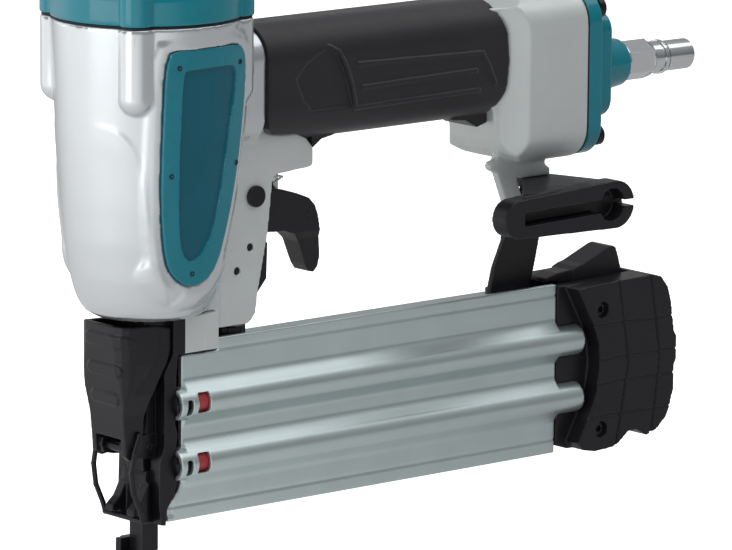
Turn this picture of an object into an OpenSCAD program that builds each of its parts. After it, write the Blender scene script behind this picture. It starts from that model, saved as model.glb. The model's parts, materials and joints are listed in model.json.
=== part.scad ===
/* [Body] */
// Height of the top face of the body above the nose tip
body_top_z = 196.4; // [180:0.1:210]
// Outer radius of the body at its top face
body_r = 33.7; // [30:0.1:38]
// Distance of the four head bolts from the centre planes
head_bolt_xy = 22; // [20:0.5:26]
// Radius of a corner boss around a head bolt
boss_r = 6; // [5:0.1:8]
// Bore radius of the working cylinder
bore_r = 18.5; // [15:0.5:20]

/* [Handle] */
// Height of the handle axis
handle_z = 168.6; // [160:0.1:175]
// Width of the rubber grip
grip_w = 34; // [30:0.5:40]
// Height of the rubber grip
grip_h = 43; // [38:0.5:48]
// Width of the rear housing
rear_w = 44; // [38:0.5:50]

/* [Trigger] */
// Distance of the trigger pin behind the driving axis
trigger_x = 40.7; // [36:0.1:46]
// Height of the trigger pin
trigger_z = 129.8; // [124:0.1:136]
// Width of the trigger
trigger_w = 12.6; // [10:0.1:14]

/* [Magazine] */
// Height of the magazine's lower edge
mag_z0 = 18.4; // [14:0.1:24]
// Height of the magazine's top deck
mag_z1 = 77.6; // [70:0.1:84]
// Half width of the magazine
mag_y = 11; // [9:0.1:13]
// Rear end of the magazine's flat wall
mag_x1 = 183.5; // [160:0.5:200]
// Height of the upper pusher tube
tube_hi_z = 60; // [54:0.5:64]
// Height of the lower pusher tube
tube_lo_z = 38.5; // [32:0.5:44]
// Outer radius of a pusher tube
tube_r = 5.7; // [5:0.1:7]

/* [Air inlet] */
// Height of the air inlet axis
inlet_z = 159.3; // [150:0.1:168]
// Barrel radius of the air plug
plug_r = 5.7; // [5:0.1:7]

/* [Hidden] */
$fn = 64;
gasket_t = 0.8;
cap_z = body_top_z + gasket_t;
cyl_r = bore_r + 2;
badge_c = 27;
rear_z = 160;
rear_h = 62;
rear_x0 = 158;
rear_x1 = 188;
tube_y = -10.5;
tube_bore = 4.1;
latch_px = 213;
latch_pz = 83;
lever_px = -13;
lever_pz = 45.5;
bail_px = -11.4;
bail_pz = 51;
door_px = -4;
door_pz = 45.5;
adjuster_x = 34.5;
silver = [0.80, 0.82, 0.82];
satin = [0.70, 0.73, 0.73];
teal = [0.0, 0.42, 0.48];
black = [0.16, 0.15, 0.17];
steel = [0.55, 0.56, 0.58];

// Smooth closed outline through a few points, n steps between each pair
function smooth_step(a, b, c, d, t) = 0.5 * (2 * b + (c - a) * t
    + (2 * a - 5 * b + 4 * c - d) * t * t + (3 * b - a - 3 * c + d) * t * t * t);
function smooth_loop(p, n) = [
    for (i = [0 : len(p) - 1], k = [0 : n - 1])
        smooth_step(p[(i - 1 + len(p)) % len(p)], p[i], p[(i + 1) % len(p)], p[(i + 2) % len(p)], k / n)
];

// Rounded rectangle with exact corner arcs, centred
module rrect(w, h, r) {
    square([w - 2 * r, h], center = true);
    square([w, h - 2 * r], center = true);
    for (i = [-1, 1], j = [-1, 1]) {
        translate([i * (w / 2 - r), j * (h / 2 - r)]) circle(r);
    }
}

// Profile drawn in X and Z, made solid from y0 to y1
module side(y0, y1) {
    translate([0, y1, 0]) rotate([90, 0, 0]) linear_extrude(y1 - y0) children();
}

// Profile drawn in Y and Z, made solid from x0 to x1
module along(x0, x1) {
    translate([x0, 0, 0]) rotate([90, 0, 90]) linear_extrude(x1 - x0) children();
}

// Round bar along Y through a point
module bar_y(x, z, r, y0, y1) {
    side(y0, y1) translate([x, z]) circle(r);
}

// Round bar between two points
module rod(a, b, r) {
    d = b - a;
    len = norm(d);
    translate(a) rotate([0, acos(d[2] / len), atan2(d[1], d[0])]) cylinder(h = len, r = r);
}

// Coil spring drawn as a stack of linked rings along Z
module coil(r, wire, z0, z1, n) {
    pitch = (z1 - z0 - wire) / (n - 1);
    for (i = [0 : n - 1]) {
        translate([0, 0, z0 + wire / 2 + i * pitch])
            rotate_extrude() translate([r, 0]) circle(wire / 2, $fn = 24);
    }
    for (i = [0 : n - 2]) {
        translate([i % 2 == 0 ? r : -r, 0, z0 + wire / 2 + i * pitch])
            cylinder(h = pitch, r = wire * 0.4, $fn = 24);
    }
}

// Outline of the body's top flange
module flange_outline(r, br) {
    circle(r);
    for (i = [-1, 1], j = [-1, 1]) {
        translate([i * head_bolt_xy, j * head_bolt_xy]) circle(br);
    }
}

module body_form() {
    rotate_extrude($fn = 96) polygon([
        [0, 91], [14, 91], [18.5, 91.8], [21.5, 93.4], [23.6, 96], [25.2, 100], [27, 107],
        [28.9, 120], [30.2, 135], [31.6, 155], [32.8, 178], [body_r, body_top_z],
        [0, body_top_z]
    ]);
    for (i = [-1, 1], j = [-1, 1]) {
        translate([i * head_bolt_xy, j * head_bolt_xy, 0]) {
            translate([0, 0, 172]) cylinder(h = body_top_z - 172, r = boss_r);
            translate([0, 0, 172]) sphere(boss_r);
        }
    }
}

// Outline of the sunk panel in a side plate
module badge_panel() {
    polygon(smooth_loop([
        [-6.2, 181.6], [10.6, 181.8], [14, 180.4], [15.2, 176.6], [14, 168], [12, 155], [9.6, 140],
        [6.8, 127.6], [2.8, 118.8], [-2.4, 114.2], [-6.2, 116.4], [-8.4, 124.4], [-9.2, 141],
        [-9.2, 165], [-8.8, 178], [-8, 180.8]
    ], 2));
}

// Outline of the side plate in X and Z, grown by d
module badge_outline(d) {
    polygon(smooth_loop([
        [-11 - d / 2, 188.5 + d], [13.5 + d / 2, 188.5 + d], [18.5 + d, 186.5 + d / 2],
        [20.2 + d, 181.5], [20.3 + d, 170.7], [18.3 + d, 150.9], [14.5 + d, 131.2],
        [9.5 + d, 115.1 - d / 3], [4 + d / 2, 107.5 - d * 0.8], [-3.5, 105.6 - d],
        [-9 - d * 0.6, 108.6 - d * 0.7], [-12.7 - d, 114.3], [-14.5 - d, 125],
        [-15.6 - d, 141.3], [-15.6 - d, 167.7], [-15.2 - d, 181.5], [-14 - d, 186.3 + d / 2]
    ], 2));
}

// Gently curved side form that carries the side plate, measured in from its outer face
module badge_form(inset) {
    translate([1, badge_c, 0]) rotate_extrude($fn = 128) polygon([
        [0, 96], [28.6 + badge_c - inset, 96], [32.9 + badge_c - inset, 186],
        [33 + badge_c - inset, 194], [0, 194]
    ]);
}

module left_pad() {
    intersection() {
        side(-40, -14) badge_outline(3.6);
        badge_form(0.9);
    }
}

module left_badge() {
    difference() {
        intersection() {
            side(-40, -14) badge_outline(0);
            badge_form(0);
        }
        badge_form(2.2);
        difference() {
            side(-40, -14) badge_panel();
            badge_form(1.0);
        }
    }
}

module left_pocket() {
    difference() {
        side(-40, -14) badge_outline(0);
        badge_form(2.2);
    }
}

module frame_outline() {
    polygon([
        [18, 152], [18, 91], [23.4, 91], [23.4, 84.5], [37.6, 84.5], [39.6, 85.6], [41.5, 88.2],
        [42.4, 95.4], [46.9, 116.4], [48.8, 134], [49.6, 135.8], [51.4, 136.5], [66.5, 137.6],
        [67.5, 138.6], [67.5, 144.2], [64.4, 148], [60, 150.2], [50, 150.8], [44, 152]
    ]);
}

module handle_section(dw, dh, r) {
    translate([0, handle_z]) rrect(grip_w - dw, grip_h - dh, r);
}

module rear_section(d) {
    translate([0, rear_z]) rrect(rear_w - 2 * d, rear_h - 2 * d, 12 - d / 2);
}

module housing() {
    color(silver) difference() {
        union() {
            body_form();
            left_pad();
            mirror([0, 1, 0]) left_pad();
            along(14, 40.9) handle_section(2.6, 2, 11);
            along(40, rear_x0 + 4) handle_section(7, 7, 10);
            side(-10, 10) frame_outline();
            rear_shell();
            hook_leg();
        }
        left_pocket();
        mirror([0, 1, 0]) left_pocket();
        rotate_extrude() polygon([
            [0, 98], [cyl_r + 0.05, 98], [cyl_r + 0.05, 112], [25, 118], [28, 160],
            [28.6, body_top_z + 1], [0, body_top_z + 1]
        ]);
        translate([0, 0, 90]) cylinder(h = 9, r = 5);
        for (i = [-1, 1], j = [-1, 1]) {
            translate([i * head_bolt_xy, j * head_bolt_xy, 176]) cylinder(h = 30, r = 2.1);
        }
        along(20, rear_x0 + 6) handle_section(15, 15, 8);
        along(rear_x0 + 5, rear_x1 + 1) rear_section(4);
        for (i = [-15.6, 15.6], j = [136.5, 183.5]) {
            translate([176, i, j]) rotate([0, 90, 0]) cylinder(h = 14, r = 2.15);
        }
        side(-6.6, 6.6) polygon([
            [34.6, 112], [60, 112], [60, 128], [80, 128], [80, 136.5], [34.6, 136.5]
        ]);
        side(-3, 3) polygon([[30.5, 80], [60, 80], [60, 122], [30.5, 122]]);
        side(0, 12) polygon([[29.5, 80], [39.6, 80], [39.6, 93.5], [29.5, 93.5]]);
        bar_y(trigger_x, trigger_z, 2.5, -11, 11);
        translate([adjuster_x, 0, 80]) cylinder(h = 10.3, r = 8.5);
        bar_y(38.9, 111.7, 1.5, -11, 11);
        bar_y(33, 103.8, 1.5, -11, 11);
        translate([57, 0, 130]) cylinder(h = 22.5, r = 6);
        for (j = [-8, 8]) translate([16.5, j, 90]) cylinder(h = 7, r = 2);
        bar_y(173, 109.4, 2, -7, 1);
        translate([175.5, -3.5, 122]) cylinder(h = 6, r = 1.5);
    }
}

module rear_shell() {
    intersection() {
        along(rear_x0 - 10, rear_x1) rear_section(0);
        translate([0, 0, 120]) linear_extrude(80) polygon([
            [148, -12], [152, -13.4], [159.4, -rear_w / 2], [rear_x1, -rear_w / 2],
            [rear_x1, rear_w / 2], [159.4, rear_w / 2], [152, 13.4], [148, 12]
        ]);
        side(-rear_w, rear_w) polygon([
            [148, 187], [154, 187], [158, 188.6], [163, 192], [189, 192], [189, 128], [166, 128.6],
            [160, 130.4], [155, 133.6], [152.2, 137.4], [150.8, 142], [150, 150], [148, 152]
        ]);
    }
}

// Leg that carries the magazine's support arm, and the rail that carries the hook
module hook_leg() {
    side(-9, -5.5) polygon([
        [156, 134], [155.2, 130.4], [152.6, 129.8], [151.8, 128], [153, 126.6], [155.4, 125.8],
        [160.6, 113], [161.4, 105.4], [177, 105.4], [177, 112.8], [168.6, 113.6],
        [164.6, 125], [164.6, 134]
    ]);
    side(-6, 0.7) translate([173, 109.4]) circle(4);
    side(-9, 3) polygon([
        [165, 134], [165, 124.6], [167, 122.4], [181.5, 122.4], [181.5, 125.2], [179.2, 126.4],
        [179.2, 134]
    ]);
}

module cap_gasket() {
    color(black) translate([0, 0, body_top_z]) linear_extrude(gasket_t) difference() {
        flange_outline(body_r - 0.5, boss_r - 0.3);
        circle(28.6);
        for (i = [-1, 1], j = [-1, 1]) {
            translate([i * head_bolt_xy, j * head_bolt_xy]) circle(2.6);
        }
    }
}

module head_cap() {
    color(teal) difference() {
        union() {
            rotate_extrude($fn = 96) polygon([
                [0, cap_z], [body_r + 0.3, cap_z], [body_r + 0.3, 206], [body_r - 1, 214],
                [30, 222], [25, 227.5], [20, 229.5], [0, 229.5]
            ]);
            for (i = [-1, 1], j = [-1, 1]) {
                translate([i * head_bolt_xy, j * head_bolt_xy, cap_z])
                    cylinder(h = 18, r = boss_r + 0.3);
            }
        }
        difference() {
            translate([0, 0, cap_z - 1]) cylinder(h = 20, r = 25.2);
            translate([0, 0, cap_z + 2]) cylinder(h = 30, r = 9.5);
        }
        translate([0, 0, cap_z - 1]) cylinder(h = 3, r = 26);
        translate([0, 0, cap_z]) cylinder(h = 24.8, r = 7);
        for (a = [0 : 60 : 300]) rotate([0, 0, a]) translate([10, 0, 221.5]) cylinder(h = 9, r = 3);
        rotate_extrude() polygon([[6, 219.5], [14, 219.5], [14, 223.5], [6, 223.5]]);
        translate([0, 0, 221]) cylinder(h = 9, r = 2.5);
        for (i = [-1, 1], j = [-1, 1]) {
            translate([i * head_bolt_xy, j * head_bolt_xy, cap_z - 1]) {
                cylinder(h = 25, r = 2.6);
                translate([0, 0, 16]) cylinder(h = 20, r = 4.5);
            }
        }
    }
}

module head_bolts() {
    color(steel) for (i = [-1, 1], j = [-1, 1]) {
        translate([i * head_bolt_xy, j * head_bolt_xy, 0]) difference() {
            union() {
                translate([0, 0, 178]) cylinder(h = 36, r = 2.1);
                translate([0, 0, cap_z + 15]) cylinder(h = 5, r = 4.2);
            }
            translate([0, 0, cap_z + 17.2]) cylinder(h = 5, r = 2.3, $fn = 6);
        }
    }
}

module exhaust_deflector() {
    color(black) difference() {
        union() {
            translate([0, 0, 229.7]) cylinder(h = 4.3, r = 19.5);
            translate([0, 0, 234]) rotate_extrude() polygon([[0, 0], [19.5, 0], [16, 3], [0, 3]]);
        }
        translate([0, 0, 229]) cylinder(h = 4.4, r = 16.6);
        side(-9, 9) polygon([[-22, 229], [-10, 229], [-10, 233.2], [-22, 233.2]]);
        translate([0, 0, 229]) cylinder(h = 9, r = 2.6);
        translate([0, 0, 235]) cylinder(h = 3, r = 5);
    }
    color(black) difference() {
        translate([0, 0, 229.7]) cylinder(h = 4.3, r = 5.5);
        translate([0, 0, 229]) cylinder(h = 6, r = 2.6);
    }
}

module deflector_screw() {
    color(steel) difference() {
        union() {
            translate([0, 0, 222]) cylinder(h = 14, r = 2.5);
            translate([0, 0, 235.1]) cylinder(h = 2.4, r = 4.6);
        }
        translate([0, 0, 236]) cylinder(h = 3, r = 2, $fn = 6);
    }
}

module badge_left() {
    color(teal) left_badge();
}

module badge_right() {
    color(teal) mirror([0, 1, 0]) left_badge();
}

// Raised ribs moulded into both sides of the rubber grip
module grip_ribs() {
    for (s = [-1, 1]) intersection() {
        along(60, 150) handle_section(-1.5, -1.5, 14.7);
        side(s * 17 - 2, s * 17 + 2) union() {
            polygon([[81.4, 173], [140, 171.7], [140.6, 172.9], [81.4, 174.3]]);
            polygon([[83.5, 164.5], [138, 165.5], [138, 166.8], [83.5, 165.8]]);
            polygon([[80, 157.4], [139.6, 158.2], [139.6, 159.5], [80, 158.7]]);
            polygon([
                [139.6, 172.4], [143.1, 166.6], [146.2, 160.2], [147.4, 160.4], [144.2, 167.3],
                [140.6, 173]
            ]);
            polygon([
                [68.7, 180.7], [72.6, 178.4], [75.7, 172.7], [78.1, 166.6], [80, 158.6],
                [81.3, 158.6], [79.4, 167], [76.9, 173.4], [73.5, 179.3], [69, 181.8]
            ]);
        }
    }
}

module grip_sleeve() {
    color(black) difference() {
        union() {
            intersection() {
                along(40, 155) handle_section(0, 0, 14);
                side(-20, 20) polygon([
                    [41.6, 192], [41, 176], [41, 159], [42.4, 154], [46, 151.4], [60, 150.2],
                    [64.4, 148], [68.4, 140], [144, 140], [149.4, 148], [152.6, 157],
                    [153.8, 168], [152.8, 179], [149, 192]
                ]);
            }
            grip_ribs();
        }
        along(30, 158) handle_section(6.7, 6.7, 10.2);
        side(-10, 10) frame_outline();
        rear_shell();
        translate([57, 0, 130]) cylinder(h = 22.5, r = 6);
        for (s = [-1, 1]) side(s * 18 - 1.9, s * 18 + 1.9) polygon([
            [53.6, 170.7], [58.1, 175.6], [64.2, 179.1], [68.7, 180.7], [72.6, 178.4],
            [75.7, 172.7], [78.1, 166.6], [80, 158.6], [61.3, 158.6], [57, 163.2]
        ]);
    }
    color(black) difference() {
        union() {
            side(-9, 9) polygon([
                [67.6, 150], [67.6, 144], [68.6, 144.4], [72, 146.8], [78, 147.8], [78, 150]
            ]);
            side(-9, 9) polygon([
                [134, 150], [134, 147.2], [140, 146.6], [145.6, 143.6], [150, 144.8], [152, 150]
            ]);
        }
        along(30, 158) handle_section(6.7, 6.7, 10.2);
        rear_shell();
    }
}

module end_cap_gasket() {
    color(black) difference() {
        along(rear_x1, rear_x1 + 0.7) rear_section(0.6);
        along(rear_x1 - 1, rear_x1 + 2) rear_section(4);
        for (i = [-15.6, 15.6], j = [136.5, 183.5]) {
            translate([rear_x1 - 1, i, j]) rotate([0, 90, 0]) cylinder(h = 3, r = 2.6);
        }
    }
}

module end_cap() {
    color(teal) difference() {
        union() {
            along(rear_x1 + 0.7, rear_x1 + 7) rear_section(0.4);
            along(rear_x1 + 7, rear_x1 + 8.2) rear_section(1.8);
            along(rear_x1 + 6, 206) translate([0, 161.4]) rrect(30, 39, 7);
            along(205, 207.4) translate([0, 161.4]) rrect(27, 36, 6);
            translate([206, 0, inlet_z]) rotate([0, 90, 0]) cylinder(h = 15.6, r1 = 11, r2 = 8.8);
        }
        along(rear_x1, rear_x1 + 3.4) rear_section(4);
        along(rear_x1, 200) translate([0, 161.4]) rrect(19, 36, 5);
        translate([198, 0, inlet_z]) rotate([0, 90, 0]) cylinder(h = 50, r = 5.6);
        for (i = [-15.6, 15.6], j = [136.5, 183.5]) translate([rear_x1, i, j])
            rotate([0, 90, 0]) cylinder(h = 20, r = 2.6);
    }
}

module end_cap_bolts() {
    color(black) for (i = [-15.6, 15.6], j = [136.5, 183.5]) {
        translate([0, i, j]) rotate([0, 90, 0]) difference() {
            union() {
                translate([0, 0, 178]) cylinder(h = 19, r = 2.1);
                translate([0, 0, rear_x1 + 8.2]) cylinder(h = 2.6, r = 3.8);
            }
            translate([0, 0, rear_x1 + 9.2]) cylinder(h = 4, r = 2.2, $fn = 6);
        }
    }
}

module air_plug() {
    color(steel) translate([0, 0, inlet_z]) rotate([0, 90, 0]) difference() {
        union() {
            translate([0, 0, 203]) cylinder(h = 20, r = 5.6);
            translate([0, 0, 221.6]) cylinder(h = 1.8, r = 7.2);
            translate([0, 0, 223.2]) cylinder(h = 12.6, r = 13 / sqrt(3), $fn = 6);
            translate([0, 0, 235.6]) cylinder(h = 1.6, r1 = 7, r2 = 6);
            translate([0, 0, 237]) cylinder(h = 5, r = 6);
            translate([0, 0, 241.6]) cylinder(h = 1.5, r = 6.5);
            translate([0, 0, 243]) cylinder(h = 1.7, r = 5.1);
            translate([0, 0, 244.6]) cylinder(h = 11.8, r = plug_r);
            translate([0, 0, 256.4]) cylinder(h = 1.2, r1 = plug_r, r2 = 4.6);
        }
        translate([0, 0, 202]) cylinder(h = 56, r = 3.4);
    }
}

module hook() {
    color(black) difference() {
        union() {
            side(-38, -30) union() {
                translate([141.3, 114]) circle(7);
                translate([188, 114.6]) circle(8.8);
                polygon([[141.3, 107], [188.6, 105.8], [187.4, 123.4], [141, 121]]);
            }
            translate([0, 0, 119]) linear_extrude(3.4) polygon([
                [145.4, -34], [192, -34], [184, -9], [181.5, -1], [168, -1], [168, -9.3]
            ]);
        }
        side(-39, -31.6) union() {
            polygon([[143.4, 111.4], [182, 112.2], [182, 117], [143.4, 116.2]]);
            translate([185.9, 114.8]) circle(6);
            polygon([[189, 113.6], [200, 113.6], [200, 116], [189, 116]]);
        }
        translate([175.5, -3.5, 117]) cylinder(h = 7, r = 1.6);
    }
}

module hook_screw() {
    color(steel) translate([175.5, -3.5, 0]) difference() {
        union() {
            translate([0, 0, 117]) cylinder(h = 10.5, r = 1.5);
            translate([0, 0, 116]) cylinder(h = 2.6, r = 3);
        }
        translate([0, 0, 115]) cylinder(h = 2.2, r = 1.4, $fn = 6);
    }
}

module support_arm() {
    color(black) difference() {
        union() {
            side(0.7, 3.2) polygon([
                [161, mag_z1], [180.6, mag_z1], [183.8, 90], [185.6, 98], [182.4, 108],
                [177, 115], [171.4, 121.4], [164.8, 121.4], [167.6, 116], [169.2, 109],
                [168.2, 98], [163.6, 88]
            ]);
            translate([166.6, 0.7, mag_z1]) cube([14, 9, 2]);
        }
        bar_y(173, 109.4, 2.1, 0, 4);
        for (x = [169.8, 177.4]) translate([x, 6.2, mag_z1 - 1]) cylinder(h = 4, r = 1.6);
    }
}

module support_arm_screws() {
    color(steel) union() {
        bar_y(173, 109.4, 2, -5, 5);
        bar_y(173, 109.4, 3.6, 3.2, 5.4);
    }
    color(steel) for (x = [169.8, 177.4]) translate([x, 6.2, 0]) {
        translate([0, 0, mag_z1 - 2]) cylinder(h = 4.5, r = 1.5);
        translate([0, 0, mag_z1 + 2]) cylinder(h = 1.6, r = 2.6);
    }
}

module trigger_outline() {
    translate([trigger_x, trigger_z]) circle(5);
    polygon([
        [36.4, 127.2], [40, 124.9], [45, 118], [49.6, 115.3], [57.7, 114.8], [62.6, 113.2],
        [65.4, 110], [67.4, 105], [68.8, 101.2], [70.6, 98.6], [72.6, 98.2], [74.4, 100],
        [75.2, 103.6], [74.7, 110], [72.9, 119.4], [71.4, 123], [68.9, 125.7], [63, 128],
        [57.1, 129.8], [51, 131.2], [46, 134.0], [41, 134.8]
    ]);
}

module trigger() {
    color(black) difference() {
        intersection() {
            side(-trigger_w / 2, trigger_w / 2) trigger_outline();
            along(30, 80) polygon([
                [-7, 140], [-7, 115], [-4.9, 111], [-4, 90], [4, 90], [4.9, 111], [7, 115], [7, 140]
            ]);
        }
        bar_y(trigger_x, trigger_z, 2.56, -8, 8);
        bar_y(68.4, 120.5, 1.25, -8, 8);
        side(-3.7, 3.7) polygon([
            [42.7, 100], [54.6, 100], [54.6, 117.6], [71, 117.6], [71, 140], [46.6, 140],
            [46.6, 128.2], [43.8, 128.2], [42.9, 124]
        ]);
    }
}

module trigger_pin() {
    color(black) union() {
        bar_y(trigger_x, trigger_z, 2.5, -10.2, 10.2);
        bar_y(trigger_x, trigger_z, 3.8, -11.2, -10);
        bar_y(trigger_x, trigger_z, 3.8, 10, 11.2);
    }
}

module trigger_spring() {
    color(steel) translate([0, -5.2, 0]) union() {
        rod([50.6, 0, 136], [57, 0, 134.4], 0.4);
        rod([57, 0, 134.4], [53, 0, 132.6], 0.4);
        translate([57, 0, 134.4]) sphere(0.46);
        translate([53, 0, 132.6]) sphere(0.46);
    }
}

module contact_lever() {
    color(steel) difference() {
        side(-3.2, 3.2) union() {
            translate([68.4, 120.5]) circle(2.2);
            polygon([
                [44, 121.6], [52, 121.2], [67.8, 118.4], [69, 122.6], [57, 123.3], [46, 123.8],
                [44, 123.2]
            ]);
        }
        bar_y(68.4, 120.5, 1.3, -8, 8);
    }
}

module contact_lever_pin() {
    color(steel) bar_y(68.4, 120.5, 1.25, -6.2, 6.2);
}

module roll_pins() {
    color(steel) {
        bar_y(38.9, 111.7, 1.5, -9.2, 9.2);
        bar_y(33, 103.8, 1.5, -9.2, 9.2);
    }
}

module valve_case() {
    color(black) translate([57, 0, 0]) difference() {
        translate([0, 0, 137.2]) cylinder(h = 14, r = 5.95);
        translate([0, 0, 140]) cylinder(h = 9.6, r = 4.6);
        translate([0, 0, 130]) cylinder(h = 30, r = 1.96);
    }
}

module valve_stem() {
    color(steel) translate([57, 0, 0]) {
        translate([0, 0, 125.5]) cylinder(h = 22, r = 1.9);
        translate([0, 0, 140.6]) cylinder(h = 2.4, r = 4.5);
    }
}

module valve_spring() {
    color(steel) translate([57, 0, 0]) coil(3.4, 0.7, 143, 149.6, 5);
}

module nose_block() {
    color(satin) difference() {
        side(-12, 12) polygon([[7.8, 91], [7.8, mag_z1 + 0.2], [23.1, mag_z1 + 0.2], [23.1, 91]]);
        for (j = [-8, 8]) translate([16.5, j, 70]) {
            cylinder(h = 30, r = 2.1);
            cylinder(h = 13, r = 3.7);
        }
    }
}

module nose_bolts() {
    color(steel) for (j = [-8, 8]) translate([16.5, j, 0]) difference() {
        union() {
            translate([0, 0, 80]) cylinder(h = 16, r = 2);
            translate([0, 0, 79]) cylinder(h = 4, r = 3.5);
        }
        translate([0, 0, 78]) cylinder(h = 3, r = 1.7, $fn = 6);
    }
}

module driver_guide() {
    color(black) difference() {
        union() {
            side(-9, 9) polygon([
                [-8, 91], [-8, 78], [-5, 75], [6.6, 75], [6.6, 77.9], [7.8, 77.9], [7.8, 91]
            ]);
            side(-12, 12) polygon([[2.6, 91], [2.6, 78], [7.8, 78], [7.8, 91]]);
            side(-6.5, 6.5) polygon([
                [-5, 76], [-5, 47.6], [-0.7, 47.6], [-0.7, 17.8], [5.6, 17.8], [6.4, 76]
            ]);
            side(-3.5, 3.5) polygon([[-4.6, 17.7], [-4.6, 7], [2.6, 7], [2.6, 18], [-0.7, 18], [-0.7, 17.7]]);
            for (s = [-1, 1]) side(s * 9 - 2.6, s * 9 + 2.6) polygon([
                [2.6, 77.9], [1.6, 76], [-0.7, 72.2], [-1, 71], [-1, 46], [-3, 40], [-3.4, 26],
                [-2.6, 17.8], [-0.4, 17.4], [0, 22.8],
                [2.8, 27], [4.2, 31], [4.9, 35], [4.5, 40.5], [3.6, 43.4], [4.3, 46], [4.7, 49.5],
                [3.6, 53.6], [4.5, 56.4], [4.9, 60], [4.1, 64.5], [4.1, 70], [4.8, 77.9]
            ]);
            for (s = [-1, 1]) side(s * 5.9 - 1.1, s * 5.9 + 1.1) polygon([
                [-0.7, 50], [-11, 49.3], [-15.4, 48.2], [-16, 45.6], [-15, 43],
                [-11, 42], [-0.7, 41]
            ]);
        }
        translate([-0.7, -1.2, 0]) cube([1.4, 2.4, 100]);
        translate([0, -0.7, mag_z0]) cube([12, 1.4, 52]);
        bar_y(lever_px, lever_pz, 1.5, -8, 8);
        bar_y(door_px, door_pz, 1, -8, 8);
    }
}

module nose_door() {
    color(black) difference() {
        union() {
            side(-6.4, 6.4) polygon([
                [-0.75, 36.6], [-0.75, 18], [-5, 18], [-5.6, 22], [-5.6, 35], [-5, 36.6]
            ]);
            side(-4.6, 4.6) polygon([[-0.75, 44.6], [-0.75, 36], [-5, 36], [-5.6, 44], [-6, 45.4]]);
            bar_y(door_px, door_pz, 2, -4.6, 4.6);
            for (s = [-1, 1]) side(s * 6 - 2, s * 6 + 2) polygon([
                [-5, 33], [-8.6, 26.4], [-11.8, 23.6], [-12, 21.4], [-8.2, 21.4], [-8, 18.6], [-5, 18]
            ]);
        }
        bar_y(door_px, door_pz, 1.06, -8, 8);
    }
}

module door_pin() {
    color(steel) bar_y(door_px, door_pz, 1, -6.9, 6.9);
}

module latch_lever_side(d) {
    polygon([
        [-20 + d, 89.8 + 9 * d], [-19.4 + d, 74], [-17.6 + d, 56], [-16.9 + d, 49],
        [-16.6 + 3 * d, 43.6 - d], [-14, 41.6 - 9 * d], [-11.6, 41.8 - 9 * d], [-9.6 + 9 * d, 44],
        [-8.8 + 9 * d, 48], [-8.6 + 9 * d, 56], [-6.6 + 9 * d, 63], [-3 + 9 * d, 69.6],
        [0.6 + 9 * d, 75], [2.2 + 9 * d, 80], [2.2 + 9 * d, 87.6 + 9 * d], [-6, 89.2 + 9 * d]
    ]);
}

module latch_lever_front(d) {
    polygon([
        [-12 + d, 92], [-12 + d, 76], [-11.2 + d, 66], [-9.6 + d, 58], [-9.4 + d, 40],
        [9.4 - d, 40], [9.6 - d, 58], [11.2 - d, 66], [12 - d, 76], [12 - d, 92]
    ]);
}

module latch_lever_plan(d) {
    translate([0, 0, 25]) linear_extrude(75) polygon([
        [10, -12.2 + d], [-13, -12.2 + d], [-16.6 + d, -11.3 + d * 0.8], [-18.6 + d, -9.8 + d * 0.6],
        [-19.8 + d, -7 + d * 0.3], [-20 + d, -3], [-20 + d, 5], [-19.8 + d, 9 - d * 0.3],
        [-19.2 + d, 11 - d * 0.6], [-17.8 + d, 12 - d * 0.9], [-16, 12.2 - d], [10, 12.2 - d]
    ]);
}

module latch_lever_form(d) {
    intersection() {
        side(-13, 13) latch_lever_side(d);
        along(-30, 20) latch_lever_front(d);
        latch_lever_plan(d);
    }
}

module latch_lever() {
    color(black) difference() {
        union() {
            latch_lever_form(0);
            for (i = [0 : 2]) intersection() {
                translate([-0.6, 0, 0]) latch_lever_form(0);
                along(-30, -8) translate([-1.6 + 0.7 * i, 84.4 - 10.3 * i]) rrect(21 - 2.8 * i, 4.2, 2);
            }
        }
        latch_lever_form(2.3);
        for (s = [-1, 1]) side(s * 12.6 - 1.6, s * 12.6 + 1.6) polygon([
            [-4.4, 95], [-5.2, 79], [-8.6, 73], [-13.4, 68.4], [-16, 63], [10, 60], [10, 95]
        ]);
        translate([-30, -7.1, 30]) cube([40, 14.2, 19.6]);
        bar_y(lever_px, lever_pz, 1.56, -14, 14);
        bar_y(bail_px, bail_pz, 1.0, -14, 14);
    }
}

module latch_lever_pin() {
    color(steel) bar_y(lever_px, lever_pz, 1.5, -9.3, 9.3);
}

module wire_bail() {
    color(black) union() {
        for (s = [-1, 1]) {
            rod([bail_px, s * 7.4, bail_pz], [bail_px, s * 10.7, bail_pz], 0.92);
            rod([bail_px, s * 10.7, bail_pz], [-13.8, s * 10.7, 45], 0.92);
            rod([-13.8, s * 10.7, 45], [-15, s * 10.7, 38], 0.92);
            rod([-15, s * 10.7, 38], [-14, s * 10.7, 30.5], 0.92);
            rod([-14, s * 10.7, 30.5], [-10.8, s * 10.7, 23.4], 0.92);
            rod([-10.8, s * 10.7, 23.4], [-9.8, s * 10.7, 20], 0.92);
            for (p = [[bail_px, bail_pz], [-13.8, 45], [-15, 38], [-14, 30.5], [-10.8, 23.4], [-9.8, 20]]) {
                translate([p[0], s * 10.7, p[1]]) sphere(1.0);
            }
        }
        rod([-9.8, -10.7, 20], [-9.8, 10.7, 20], 0.92);
    }
}

module contact_foot() {
    color(black) difference() {
        union() {
            along(-7, 4.8) polygon([
                [-5.6, 6], [-5.6, 1.4], [-4.4, 0], [4.4, 0], [6.4, 1.4], [6.4, 11.2], [3.9, 11.2],
                [3.9, 6]
            ]);
            side(3.9, 6.6) polygon([[-8.4, 11.2], [-8.4, 4], [-6, 1.6], [4.8, 1.6], [4.8, 11.2]]);
            translate([-1, 6, 4]) cube([6.4, 7.6, 5.5]);
        }
        translate([-4.8, -3.7, -1]) cube([7.6, 7.4, 14]);
    }
}

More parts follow.
